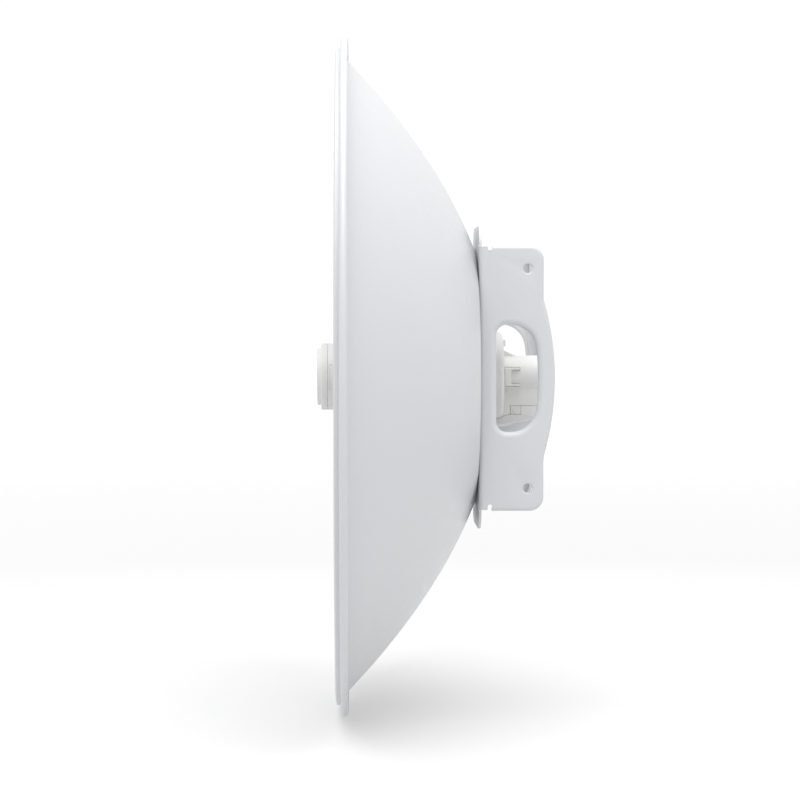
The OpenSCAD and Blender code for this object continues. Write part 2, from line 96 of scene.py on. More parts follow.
SHEET_T = 2.5
HALF_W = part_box("bracket_side_right")[1].y / MM
SIDE_H = 248.0
SIDE_L = 60.4
BULGE = seat_mm(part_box("bracket_side_right")[1]).x - SIDE_L
BULGE_H = 148.0
BULGE_R = (BULGE_H**2 / 4 + BULGE**2) / (2 * BULGE)
SIDE_CORNER_R = 13.0
FLANGE_W = 8.0
BEND_R = 4.5
ROLL_R = 3.6
TAB_L = 8.1
NOTCH_W = 4.0
NOTCH_D = 6.3
BASE_H = 288.0
BASE_END_W = 120.0
BASE_END_R = 24.0
BASE_JOGGLE = 1.0
WINDOW = (16.2, 55.2)
WINDOW_H = 100.0
WINDOW_R = (9.5, 24.0)
WINDOW_LIP = 5.0
WINDOW_ROLL = 6.0
BOLT_R = 4.2
BOLT_SETBACK = -SEAT.x / MM
BOLT_SPACING = 2 * SEAT.z / MM
BOLT_SPOTS = [(s * 50.0, t * 75.0) for s in (-1, 1) for t in (-1, 1)]
SCREW_OFFSET = 33.0 * math.sqrt(0.5)
SCREW_SPOTS = [(s * SCREW_OFFSET, t * SCREW_OFFSET) for s in (-1, 1) for t in (-1, 1)]
EARTH_HOLE = (36, 13 - BASE_H / 2)

DRUM_R = 43.0
DRUM_X = (3.5, 26.2)
DRUM_FILLET = 4.0
BARREL_R = 20.3
BARREL_REAR = 60.5
WALL = 2.2
SPIGOT_R = HUB_HOLE_R - 0.4
SPIGOT_X = (-DISH_T - 2, 7.0)
BAY_HALF_W = 17.0
BAY_TOP = -11.0
BAY_REAR = BARREL_REAR - 0.05
BAY_BEND = 0.35
SKIRT_Z = -38.0
STATUS_Z = 8.0
STATUS_HALF = (7.5, 1.7)
SEAM_Z = -27.6
SEAM_GAP = 0.2
STEP = (33.0, -35.3)
STEP_SLOPE = 0.369
BAY_FRONT = 5.0
FLOOR_Z = -39.7
FLOOR_SLOPE = 0.197
FLOOR_R = 2.6
KEEL_R = 2.4
GLAND_X = 50.0
GLAND_R = 5.2
LATCH_L = 10.0
CLIP_X = 27.2
CLIP_BLOCK = 6.9
CLIP_L = 15.0
CLIP_HALF_H = 9.0
CLIP_ARM = 2.2
CLIP_STAND = 3.0
CLIP_EASE = 1.0
CLIP_RAMP = 2.1
PAD_GAP = 0.2
MOVE_GAP = 0.35

HEAD_R = 32.0
HEAD_FRONT = -148.4
HEAD_SEAM = -142.0
HEAD_GAP = 0.09
GRIP_X = (-140.6, -131.0)
GRIP_HALF_H = 12.2
GRIP_DEPTH = 0.4
CAP_R = 27.4
CAP_H = 4.2
TUBE_R = 17.8


# ---- node materials ---------------------------------------------------------


def new_material(name, color, roughness, metallic=0.0, coat=0.0, specular=0.5, sheen=0.0):
    m = bpy.data.materials.new(name)
    m.use_nodes = True
    shader = m.node_tree.nodes["Principled BSDF"]
    shader.inputs["Base Color"].default_value = (*color, 1)
    shader.inputs["Roughness"].default_value = roughness
    shader.inputs["Metallic"].default_value = metallic
    shader.inputs["Coat Weight"].default_value = coat
    shader.inputs["Coat Roughness"].default_value = 0.25
    shader.inputs["Specular IOR Level"].default_value = specular
    shader.inputs["Sheen Weight"].default_value = sheen
    return m, shader


def node(m, kind, **settings):
    n = m.node_tree.nodes.new(kind)
    for key, value in settings.items():
        if key in n.inputs:
            n.inputs[key].default_value = value
        else:
            setattr(n, key, value)
    return n


def link(m, a, out, b, into):
    m.node_tree.links.new(a.outputs[out], b.inputs[into])


def noise(m, scale, detail=3.0, stretch=None):
    """Noise in object space. scale is in features per metre."""
    where = node(m, "ShaderNodeTexCoord")
    n = node(m, "ShaderNodeTexNoise", Scale=scale, Detail=detail)
    if stretch:
        mapping = node(m, "ShaderNodeMapping", Scale=stretch)
        link(m, where, "Object", mapping, "Vector")
        link(m, mapping, "Vector", n, "Vector")
    else:
        link(m, where, "Object", n, "Vector")
    return n


def ramp(m, source, out, stops):
    r = node(m, "ShaderNodeValToRGB")
    elements = r.color_ramp.elements
    while len(elements) < len(stops):
        elements.new(0.5)
    for e, (at, color) in zip(elements, stops):
        e.position = at
        e.color = (*color, 1)
    link(m, source, out, r, "Fac")
    return r


def grey(v):
    return (v, v, v)


def shade(color, k):
    return tuple(min(1.0, c * k) for c in color)


def vary(m, shader, color, scale, amount, rough, rough_amount):
    """Soft clouds of colour and roughness over a piece."""
    clouds = noise(m, scale, 4)
    tint = ramp(m, clouds, "Fac", [(0.3, shade(color, 1 - amount)), (0.7, shade(color, 1 + amount))])
    link(m, tint, "Color", shader, "Base Color")
    fine = noise(m, scale * 9, 2)
    r = ramp(m, fine, "Fac", [(0.3, grey(rough - rough_amount)), (0.7, grey(rough + rough_amount))])
    link(m, r, "Color", shader, "Roughness")


def bump(m, shader, source, out, strength, distance, normal=None):
    b = node(m, "ShaderNodeBump", Strength=strength, Distance=distance)
    link(m, source, out, b, "Height")
    if normal:
        link(m, normal, "Normal", b, "Normal")
    link(m, b, "Normal", shader, "Normal")
    return b


def powder_coat(name, color):
    """Satin powder coat: orange peel about a millimetre and a half across, and a finer grain on it."""
    m, shader = new_material(name, color, 0.42, coat=0.12)
    vary(m, shader, color, 9, 0.008, 0.42, 0.05)
    peel = bump(m, shader, noise(m, 650, 2), "Fac", 0.10, 0.00025)
    bump(m, shader, noise(m, 3200, 2), "Fac", 0.05, 0.0001, peel)
    return m


def moulded(name, color, roughness=0.48, grain=0.10):
    """Spark-eroded moulding texture on a polycarbonate blend."""
    m, shader = new_material(name, color, roughness)
    vary(m, shader, color, 22, 0.010, roughness, 0.05)
    coarse = bump(m, shader, noise(m, 2600, 3), "Fac", grain, 0.00012)
    bump(m, shader, noise(m, 7000, 2), "Fac", grain * 0.7, 0.00006, coarse)
    return m


def rubber(name, color):
    m, shader = new_material(name, color, 0.75, specular=0.3)
    vary(m, shader, color, 120, 0.12, 0.75, 0.08)
    bump(m, shader, noise(m, 3500, 3), "Fac", 0.2, 0.0001)
    return m


def metal(name, color, roughness, stretch=None, scale=500, strength=0.08):
    m, shader = new_material(name, color, roughness, metallic=1.0)
    vary(m, shader, color, 60, 0.05, roughness, 0.07)
    bump(m, shader, noise(m, scale, 4, stretch), "Fac", strength, 0.0001)
    return m


def turned_metal(name, color, roughness):
    """Tool marks in rings round the boresight."""
    m, shader = new_material(name, color, roughness, metallic=1.0)
    vary(m, shader, color, 60, 0.04, roughness, 0.06)
    where = node(m, "ShaderNodeTexCoord")
    shift = node(m, "ShaderNodeMapping", Location=(0, 0, -SEAT.z))
    rings = node(m, "ShaderNodeTexWave", wave_type="RINGS", rings_direction="X", Scale=420, Distortion=0.6)
    link(m, where, "Object", shift, "Vector")
    link(m, shift, "Vector", rings, "Vector")
    bump(m, shader, rings, "Fac", 0.08, 0.00008)
    return m


def circuit(name, color):
    """Solder mask with lighter copper runs under it and gold pads."""
    m, shader = new_material(name, color, 0.35, coat=0.4)
    where = node(m, "ShaderNodeTexCoord")
    runs = node(m, "ShaderNodeTexBrick", Scale=260, offset=0.37, squash=0.6)
    runs.inputs["Color1"].default_value = (*shade(color, 1.25), 1)
    runs.inputs["Color2"].default_value = (*color, 1)
    runs.inputs["Mortar"].default_value = (*shade(color, 0.7), 1)
    runs.inputs["Mortar Size"].default_value = 0.06
    link(m, where, "Object", runs, "Vector")
    pads = node(m, "ShaderNodeTexVoronoi", Scale=330)
    link(m, where, "Object", pads, "Vector")
    mask = ramp(m, pads, "Distance", [(0.06, grey(1)), (0.09, grey(0))])
    mix = node(m, "ShaderNodeMixRGB")
    mix.inputs["Color2"].default_value = (0.62, 0.5, 0.24, 1)
    link(m, mask, "Color", mix, "Fac")
    link(m, runs, "Color", mix, "Color1")
    link(m, mix, "Color", shader, "Base Color")
    bump(m, shader, runs, "Fac", 0.15, 0.0001)
    return m


def clear(name, color):
    m, shader = new_material(name, color, 0.12)
    shader.inputs["Transmission Weight"].default_value = 0.55
    vary(m, shader, color, 150, 0.03, 0.14, 0.04)
    bump(m, shader, noise(m, 1800, 2), "Fac", 0.05, 0.0001)
    return m


MATERIALS = {
    "reflector": powder_coat("reflector_coat", (0.595, 0.601, 0.618)),
    "bracket": powder_coat("bracket_coat", (0.59, 0.596, 0.616)),
    "housing_plastic": moulded("housing_plastic", (0.70, 0.697, 0.688)),
    "feed_plastic": moulded("feed_plastic", (0.70, 0.697, 0.688)),
    "zinc_steel": metal("zinc_plate", (0.62, 0.63, 0.65), 0.34),
    "seal_rubber": rubber("seal_rubber", (0.03, 0.03, 0.032)),
    "clear_plastic": clear("clear_plastic", (0.80, 0.84, 0.86)),
    "bare_aluminium": turned_metal("bare_aluminium", (0.78, 0.79, 0.80), 0.3),
    "tinned_steel": metal("tinned_steel", (0.70, 0.71, 0.70), 0.28, (1, 12, 1), 300),
    "brass": metal("brass", (0.75, 0.55, 0.24), 0.25, (0.1, 1, 1), 900),
    "board": circuit("solder_mask", (0.02, 0.11, 0.05)),
    "carrier_plastic": moulded("carrier_plastic", (0.06, 0.06, 0.065), 0.5),
    "thermal_pad": rubber("thermal_pad", (0.30, 0.42, 0.52)),
}
SLOT_OF = {s["node"]: s["material_slot"] for s in frame["record"]["subparts"]}
BODY_OF = {n: body for body, names in frame["record"]["behaviour"]["bodies"].items() for n in names}


# ---- mesh helpers -----------------------------------------------------------


def reshade(obj, sharp_deg=32):
    obj.data.shade_smooth()
    obj.data.set_sharp_from_angle(angle=math.radians(sharp_deg))
    return obj


def as_object(name, bm, sharp_deg=32):
    """A smooth-shaded object from bm, in the row frame's metres, with its hard edges marked."""
    bmesh.ops.remove_doubles(bm, verts=bm.verts, dist=1e-4)
    bmesh.ops.dissolve_degenerate(bm, edges=bm.edges, dist=1e-5)
    bmesh.ops.recalc_face_normals(bm, faces=bm.faces)
    for v in bm.verts:
        v.co = place(v.co)
    mesh = bpy.data.meshes.new(name)
    bm.to_mesh(mesh)
    bm.free()
    obj = bpy.data.objects.new(name, mesh)
    bpy.context.scene.collection.objects.link(obj)
    return reshade(obj, sharp_deg)


def finish_piece(obj, cad_nodes):
    """Gives a piece its finish, its body and the CAD nodes it stands for."""
    slot = SLOT_OF[cad_nodes[0]]
    obj.data.materials.clear()
    obj.data.materials.append(MATERIALS[slot])
    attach(obj, BODY_OF[cad_nodes[0]])
    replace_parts(obj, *cad_nodes)


def arc(c, r, a0, a1, steps):
    """Points on an arc, in degrees, with both ends."""
    turn = [math.radians(a0 + (a1 - a0) * i / steps) for i in range(steps + 1)]
    return [(c[0] + r * math.cos(t), c[1] + r * math.sin(t)) for t in turn]


def rounded(points, steps=5):
    """A closed outline with its corners rounded. Points are (a, b) or (a, b, radius)."""
    out = []
    n = len(points)
    for i, p in enumerate(points):
        here = Vector(p[:2])
        r = p[2] if len(p) > 2 else 0
        if r <= 0:
            out.append(tuple(here))
            continue
        before = (Vector(points[i - 1][:2]) - here).normalized()
        after = (Vector(points[(i + 1) % n][:2]) - here).normalized()
        half = before.angle(after) / 2
        reach = r / math.tan(half)
        centre = here + (before + after).normalized() * (r / math.sin(half))
        start, end = here + before * reach - centre, here + after * reach - centre
        turn = math.atan2(start.x * end.y - start.y * end.x, start.dot(end))
        for k in range(steps + 1):
            out.append(tuple(centre + Matrix.Rotation(turn * k / steps, 2) @ start))
    return out


def turned(bm, profile, steps):
    """Turns a closed outline of (radius, x) round the boresight."""
    rings = []
    for i in range(steps):
        t = math.radians(360.0 * i / steps)
        rings.append([bm.verts.new((x, r * math.cos(t), r * math.sin(t))) for r, x in profile])
    count = len(profile)
    for i in range(steps):
        a, b = rings[i], rings[(i + 1) % steps]
        for k in range(count):
            j = (k + 1) % count
            if profile[k][0] < 1e-6 and profile[j][0] < 1e-6:
                continue
            bm.faces.new([a[k], a[j], b[j], b[k]])


def prism(bm, outline, y0, y1, edge=0.0, edge_steps=3):
    """An outline in x and z, from y0 to y1, with its two long rims rounded by edge."""
    loops = []
    normals = outline_normals(outline)
    sections = [(0.0, y0)] if edge == 0 else [
        (edge * (1 - math.sin(t)), y0 + edge * (1 - math.cos(t)))
        for t in [math.pi / 2 * k / edge_steps for k in range(edge_steps + 1)]
    ]
    mirrored = [(inset, y1 - (y - y0)) for inset, y in reversed(sections)]
    for inset, y in sections + mirrored:
        loops.append([
            bm.verts.new((p[0] - n[0] * inset, y, p[1] - n[1] * inset)) for p, n in zip(outline, normals)
        ])
    count = len(outline)
    for a, b in zip(loops, loops[1:]):
        for k in range(count):
            j = (k + 1) % count
            bm.faces.new([a[k], a[j], b[j], b[k]])
    for loop in (loops[0], loops[-1]):
        fill(bm, [loop])


def outline_normals(outline):
    """Outward normals at the corners of a closed outline, scaled so that an inset keeps its width."""
    area = sum(a[0] * b[1] - b[0] * a[1] for a, b in zip(outline, outline[1:] + outline[:1]))
    side = 1 if area > 0 else -1
    out = []
    n = len(outline)
    for i in range(n):
        p, q, r = (Vector(outline[k % n]) for k in (i - 1, i, i + 1))
        e1, e2 = (q - p), (r - q)
        n1 = Vector((e1.y, -e1.x)).normalized() * side
        n2 = Vector((e2.y, -e2.x)).normalized() * side
        m = (n1 + n2)
        m = m / max(m.dot(n1), 0.3)
        out.append((m.x, m.y))
    return out


def fill(bm, loops):
    """Closes flat loops of vertices: the first is the outer one and the others are holes."""
    flat = [v for loop in loops for v in loop]
    for tri in tessellate_polygon([[v.co for v in loop] for loop in loops]):
        corners = [flat[i] for i in tri]
        if len(set(corners)) == 3:
            try:
                bm.faces.new(corners)
            except ValueError:
                pass


def solid_from(build, name="tool"):
    bm = bmesh.new()
    build(bm)
    return as_object(name, bm)


def carve(obj, tool, operation="DIFFERENCE"):
    """Applies one exact boolean to obj and removes the tool."""
    mod = obj.modifiers.new("cut", "BOOLEAN")
    mod.object = tool
    mod.operation = operation
    mod.solver = "EXACT"
    graph = bpy.context.evaluated_depsgraph_get()
    mesh = bpy.data.meshes.new_from_object(obj.evaluated_get(graph))
    obj.modifiers.clear()
    old = obj.data
    obj.data = mesh
    bpy.data.meshes.remove(old)
    data = tool.data
    bpy.data.objects.remove(tool)
    bpy.data.meshes.remove(data)
    return obj


def block_mm(bm, low, high):
    made = bmesh.ops.create_cube(bm, size=1)
    for v in made["verts"]:
        v.co = Vector([(a + b) / 2 + c * (b - a) for a, b, c in zip(low, high, v.co)])


def cylinder_mm(bm, r, start, end, at_x=None, steps=64):
    """A plain cylinder round the boresight, or an upright one at at_x on the middle plane."""
    low, high = [], []
    for i in range(steps):
        t = 2 * math.pi * i / steps
        a, b = r * math.cos(t), r * math.sin(t)
        for along, ring in ((start, low), (end, high)):
            ring.append(bm.verts.new((along, a, b) if at_x is None else (at_x + a, b, along)))
    for i in range(steps):
        j = (i + 1) % steps
        bm.faces.new([low[i], low[j], high[j], high[i]])
    bm.faces.new(low)
    bm.faces.new(high)


# ---- reflector --------------------------------------------------------------

APEX = SEAT_R**2 / (4 * FOCUS)


def dish_x(r):
    return APEX - r * r / (4 * FOCUS)


def dish_r(x):
    return math.sqrt((APEX - x) * 4 * FOCUS)


def through_sheet(r):
    """The point of the reflector's front surface opposite the rear surface at radius r."""
    slope = r / (2 * FOCUS)
    n = math.sqrt(1 + slope * slope)
    return (r - DISH_T * slope / n, dish_x(r) - DISH_T / n)


def make_reflector():
    back_end = dish_r(DISH_T - RIM_DEPTH)
    edge_end = dish_r(-RIM_DEPTH - LIP_L)
    steps = 44
    soft = 7.0  # half width of the pressed bend round the seat
    start = SEAT_R + soft
    bend = [(SEAT_R - soft + 2 * soft * u, dish_x(start) * u * u) for u in [k / 6 for k in range(6)]]
    rear = [(HUB_HOLE_R, 0.0)] + bend
    rear += [(r, dish_x(r)) for r in [start + (back_end - start) * i / steps for i in range(steps + 1)]]
    front = [through_sheet(start + (edge_end - start) * i / steps) for i in range(steps, -1, -1)]
    front += [(r - 0.1, x - DISH_T) for r, x in reversed(bend)]
    front.append((HUB_HOLE_R, -DISH_T))
    centre = (RIM_R - BEAD_R, BEAD_R - RIM_DEPTH)
    rim = arc(centre, BEAD_R - DISH_T, -90, 90, 12)
    rim += arc(centre, BEAD_R, 90, -90, 16)
    lip = [
        (LIP_R + 0.8, -RIM_DEPTH), (LIP_R + 0.2, -RIM_DEPTH - 0.3), (LIP_R, -RIM_DEPTH - 1.0),
        (LIP_R, -RIM_DEPTH - LIP_L + 0.9), (LIP_R - 0.3, -RIM_DEPTH - LIP_L + 0.25),
        (LIP_R - 0.9, -RIM_DEPTH - LIP_L),
    ]
    bm = bmesh.new()
    turned(bm, rear + rim + lip + front, steps=288)
    quarters = [f"reflector_well_{a}_{b}" for a in ("upper", "lower") for b in ("left", "right")]
    finish_piece(as_object("reflector_skin", bm, 40), ["reflector", "reflector_seat", *quarters])


# ---- bracket ----------------------------------------------------------------


def roll_section(r, thick, depth, steps=8):
    """A sheet's edge turned through a right angle: pairs of (inset, depth) for outside and inside."""
    turn = [math.pi / 2 * k / steps for k in range(steps + 1)]
    r_deep = min(r, depth)
    inner, inner_deep = max(r - thick, 0.3), max(r_deep - thick, 0.3)
    outside = [(r - r * math.sin(t), r_deep - r_deep * math.cos(t)) for t in turn]
    inside = [(r - inner * math.sin(t), thick + inner_deep - inner_deep * math.cos(t)) for t in turn]
    if depth > r_deep:
        outside.append((0.0, depth))
        inside.append((r - inner, depth))
    return outside, inside


def sweep_section(bm, path, section, to_point, closed=False):
    """Carries a section of (inset, depth) along a path of (a, b, na, nb)."""
    rows = [
        [bm.verts.new(to_point(a - na * inset, b - nb * inset, depth)) for inset, depth in section]
        for a, b, na, nb in path
    ]
    spans = range(len(rows)) if closed else range(len(rows) - 1)
    for i in spans:
        one, two = rows[i], rows[(i + 1) % len(rows)]
        for k in range(len(section) - 1):
            bm.faces.new([one[k], one[k + 1], two[k + 1], two[k]])
    return rows


def rolled_edge(bm, path, r, thick, depth, to_point, closed=False):
    """Both faces of a turned edge. Returns the rows where it meets the flat sheet: outside, inside."""
    outside, inside = roll_section(r, thick, depth)
    out_rows = sweep_section(bm, path, outside, to_point, closed)
    in_rows = sweep_section(bm, path, inside, to_point, closed)
    spans = range(len(path)) if closed else range(len(path) - 1)
    for i in spans:
        j = (i + 1) % len(path)
        bm.faces.new([out_rows[i][-1], out_rows[j][-1], in_rows[j][-1], in_rows[i][-1]])
    if not closed:
        for i in (0, len(path) - 1):
            for k in range(len(outside) - 1):
                bm.faces.new([out_rows[i][k], out_rows[i][k + 1], in_rows[i][k + 1], in_rows[i][k]])
    return [row[0] for row in out_rows], [row[0] for row in in_rows]


def arc_path(c, r, a0, a1, steps, hollow=False):
    """Path points with outward normals; hollow arcs bend round a space outside the sheet."""
    side = -1 if hollow else 1
    out = []
    for i in range(steps + 1):
        t = math.radians(a0 + (a1 - a0) * i / steps)
        out.append((c[0] + r * math.cos(t), c[1] + r * math.sin(t), side * math.cos(t), side * math.sin(t)))
    return out


def side_edge():
    """The flanged edge of a side plate in x and z, from the lower notch round the rear to the upper one."""
    top = SIDE_H / 2
    centre_x = SIDE_L + BULGE - BULGE_R
    reach = SIDE_L - centre_x

    def blend(fillet):
        z = math.sqrt((BULGE_R + fillet) ** 2 - (reach + fillet) ** 2)
        return z, math.degrees(math.atan2(z, reach + fillet))

    low_r, high_r = 40.0, 9.0
    low_z, low_a = blend(low_r)
    high_z, high_a = blend(high_r)
    r = SIDE_CORNER_R
    path = [(TAB_L + NOTCH_W, -top, 0, -1), (30.0, -top, 0, -1)]
    path += arc_path((SIDE_L - r, r - top), r, -90, 0, 12)
    path += arc_path((SIDE_L + low_r, -low_z), low_r, 180, 180 - low_a, 6, hollow=True)
    path += arc_path((centre_x, 0), BULGE_R, -low_a, high_a, 40)[1:]
    path += arc_path((SIDE_L + high_r, high_z), high_r, 180 + high_a, 180, 4, hollow=True)[1:]
    path += arc_path((SIDE_L - r, top - r), r, 0, 90, 12)
    path += [(30.0, top, 0, 1), (TAB_L + NOTCH_W, top, 0, 1)]
    return path


def window_edge():
    """The hand window, its rear side running parallel to the side plate's bulge."""
    (x0, x1), (r0, r1), half = WINDOW, WINDOW_R, WINDOW_H / 2
    swell_r = BULGE_R - (SIDE_L + BULGE - x1)
    tip = math.degrees(math.asin((half - r1) / (swell_r - r1)))
    corner_x = x1 - swell_r + (swell_r - r1) * math.cos(math.radians(tip))
    path = arc_path((corner_x, half - r1), r1, tip, 90, 14, hollow=True)
    path += arc_path((x0 + r0, half - r0), r0, 90, 180, 8, hollow=True)
    path += arc_path((x0 + r0, r0 - half), r0, 180, 270, 8, hollow=True)
    path += arc_path((corner_x, r1 - half), r1, 270, 360 - tip, 14, hollow=True)
    path += arc_path((x1 - swell_r, 0), swell_r, -tip, tip, 12, hollow=True)[1:-1]
    return path


def ring_path(c, r, steps=40):
    return arc_path(c, r, 0, 360 * (steps - 1) / steps, steps - 1, hollow=True)


def round_hole(bm, c, r, ease, thick, to_point, back_share=1.0):
    """A drilled hole whose edges are eased. Returns the vertex loops on the outer and inner faces."""
    turn = [math.pi / 2 * k / 4 for k in range(5)]
    section = [(ease * (1 - math.sin(t)), ease * (1 - math.cos(t))) for t in turn]
    back = [(i * back_share, thick - d * back_share) for i, d in reversed(section)]
    rows = sweep_section(bm, ring_path(c, r), section + back, to_point, closed=True)
    return [row[0] for row in rows], [row[-1] for row in rows]


def cut_wall(bm, one, two):
    """A strip of faces between two matching open runs of vertices."""
    for k in range(len(one) - 1):
        bm.faces.new([one[k], one[k + 1], two[k + 1], two[k]])


def make_side(bm, side):
    """One side plate."""

    def to_point(x, z, depth):
        return (x, side * (HALF_W - depth), z)

    top = SIDE_H / 2
    edge_out, edge_in = rolled_edge(bm, side_edge(), ROLL_R, SHEET_T, FLANGE_W, to_point)
    win_out, win_in = rolled_edge(
        bm, window_edge(), WINDOW_ROLL, SHEET_T, WINDOW_LIP, to_point, closed=True)
    bolts = [(BOLT_SETBACK, s * BOLT_SPACING / 2) for s in (-1, 1)]
    holes = [round_hole(bm, at, BOLT_R, 1.6, SHEET_T, to_point, 0.25) for at in bolts]
    notch_c = TAB_L + NOTCH_W / 2
    notch_z = top - NOTCH_D + NOTCH_W / 2
    upper = arc((notch_c, notch_z), NOTCH_W / 2, 0, -180, 8)
    upper += [(TAB_L, top - 2.0), (TAB_L - 0.3, top - 1.3), (TAB_L - 1.0, top - 1.0), (BEND_R, top - 1.0)]
    lower = [(x, -z) for x, z in reversed(upper)]
    faces = []
    for depth, edge in ((0.0, edge_out), (SHEET_T, edge_in)):
        up = [bm.verts.new(to_point(x, z, depth)) for x, z in upper]
        down = [bm.verts.new(to_point(x, z, depth)) for x, z in lower]
        faces.append((edge, up, down))
    for n, (edge, up, down) in enumerate(faces):
        window = win_out if n == 0 else win_in
        fill(bm, [edge + up + down, window] + [h[n] for h in holes])
    cut_wall(bm, [faces[0][0][-1]] + faces[0][1], [faces[1][0][-1]] + faces[1][1])
    cut_wall(bm, faces[0][2] + [faces[0][0][0]], faces[1][2] + [faces[1][0][0]])


def make_bend(bm, side, half_length):
    """The quarter turn between the base plate and one side plate, with its two cut ends."""
    inner = BEND_R - SHEET_T
    turn = [math.radians(90 * k / 6) for k in range(7)]

    def row(r, z):
        points = [(BEND_R - r * math.sin(t), side * (HALF_W - BEND_R + r * math.cos(t)), z) for t in turn]
        return [bm.verts.new(p) for p in points]

    outer_low, outer_high = row(BEND_R, -half_length), row(BEND_R, half_length)
    inner_low, inner_high = row(inner, -half_length), row(inner, half_length)
    for low, high in ((outer_low, outer_high), (inner_low, inner_high)):
        cut_wall(bm, low, high)
    for outer, inside in ((outer_low, inner_low), (outer_high, inner_high)):
        cut_wall(bm, outer, inside)


def eased_section(thick, ease, steps=3):
    """A cut edge of a sheet with both its arrises eased: pairs of (inset, depth) from face to face."""
    turn = [math.pi / 2 * k / steps for k in range(steps + 1)]
    front = [(ease * (1 - math.sin(t)), ease * (1 - math.cos(t))) for t in turn]
    return front + [(inset, thick - depth) for inset, depth in reversed(front)]


def make_base(bm):
    """The plate on the reflector's seat. Its rounded ends are joggled back past the side plates."""
    top = SIDE_H / 2 - 1.0
    bend_to = top + 3.0

    def to_point(y, z, depth):
        lift = min(max((abs(z) - top) / (bend_to - top), 0.0), 1.0)
        return (depth + BASE_JOGGLE * lift, y, z)

    half_w = HALF_W - BEND_R
    c = (BASE_END_W / 2 - BASE_END_R, BASE_H / 2 - BASE_END_R)

    def end_path():
        first, second = (math.degrees(math.asin((z - c[1]) / BASE_END_R)) for z in (top, bend_to))
        right = arc_path(c, BASE_END_R, first, second, 1)[:1] + arc_path(c, BASE_END_R, second, 90, 12)
        left = [(-y, z, -ny, nz) for y, z, ny, nz in reversed(right)]
        return right + left

    upper = end_path()
    lower = [(y, -z, ny, -nz) for y, z, ny, nz in reversed(upper)]
    section = eased_section(SHEET_T, 0.35)
    up, low = (sweep_section(bm, path, section, to_point) for path in (upper, lower))
    spots = [((0, 0), HUB_HOLE_R, 0.4)]
    spots += [(at, 3.4, 0.3) for at in BOLT_SPOTS]
    spots += [(at, 2.3, 0.3) for at in SCREW_SPOTS]
    holes = [round_hole(bm, at, r, ease, SHEET_T, to_point) for at, r, ease in spots]
    earth = round_hole(bm, EARTH_HOLE, 2.1, 0.3, SHEET_T, to_point)
    walls = []
    for n, depth in enumerate((0.0, SHEET_T)):
        k = 0 if n == 0 else -1

        def corner(y, z):
            return bm.verts.new(to_point(y, z, depth))

        corners = [corner(half_w, top), corner(-half_w, top), corner(-half_w, -top), corner(half_w, -top)]
        middle = [corners[0], up[0][k], up[-1][k], corners[1]]
        middle += [corners[2], low[0][k], low[-1][k], corners[3]]
        fill(bm, [middle] + [h[n] for h in holes])
        for rows, extra in ((up, []), (low, [earth[n]])):
            bm.faces.new([rows[0][k], rows[1][k], rows[-2][k], rows[-1][k]])
            fill(bm, [[row[k] for row in rows[1:-1]]] + extra)
        walls.append(corners)
    for m, row in ((0, up[0]), (1, up[-1]), (2, low[0]), (3, low[-1])):
        bm.faces.new([walls[0][m], *row, walls[1][m]])
    return top


def make_bracket():
    bm = bmesh.new()
    top = make_base(bm)
    for side in (-1, 1):
        make_side(bm, side)
        make_bend(bm, side, top)
    cad_nodes = ["bracket_base", "bracket_side_left", "bracket_side_right"]
    finish_piece(as_object("bracket_sheet", bm, 30), cad_nodes)


# ---- rear housing -----------------------------------------------------------


def seam_at(x):
    """Height of the sloping front part of the seam between the bay and its cover."""
    return STEP[1] - (STEP[0] - x) * STEP_SLOPE


def floor_at(x):
    """Height of the cover's sloping underside."""
    return FLOOR_Z - (BARREL_REAR - x) * FLOOR_SLOPE


def c_outline(grow):
    """The release clip's C in x and z, open to the rear."""
    x0, x1 = CLIP_X - grow, CLIP_X + CLIP_L + grow
    h = CLIP_HALF_H + grow
    inner = CLIP_HALF_H - CLIP_ARM - grow
    return [
        (x0, -h), (x1, -h), (x1, -inner), (CLIP_X + CLIP_BLOCK + grow, -inner),
        (CLIP_X + CLIP_BLOCK + grow, inner), (x1, inner), (x1, h), (x0, h),
    ]


def bay_walls(inner):
    """The port bay's walls, open below and trimmed clear of the barrel's bore."""
    front = DRUM_X[1] - 1
    outline = rounded([
        (front, BAY_TOP), (BAY_REAR, BAY_TOP), (BAY_REAR, SEAM_Z), (STEP[0], SEAM_Z),
        (STEP[0], STEP[1]), (front, seam_at(front)),
    ])
    walls = solid_from(lambda bm: prism(bm, outline, -BAY_HALF_W, BAY_HALF_W, BAY_BEND))
    low = (10, WALL - BAY_HALF_W, -60)
    high = (BARREL_REAR - WALL - 0.04, BAY_HALF_W - WALL, BAY_TOP - 1.5)
    carve(walls, solid_from(lambda bm: block_mm(bm, low, high)))
    bore_end = BARREL_REAR - WALL + 0.5
    return carve(walls, solid_from(lambda bm: cylinder_mm(bm, inner + 0.5, 4.0, bore_end, steps=96)))


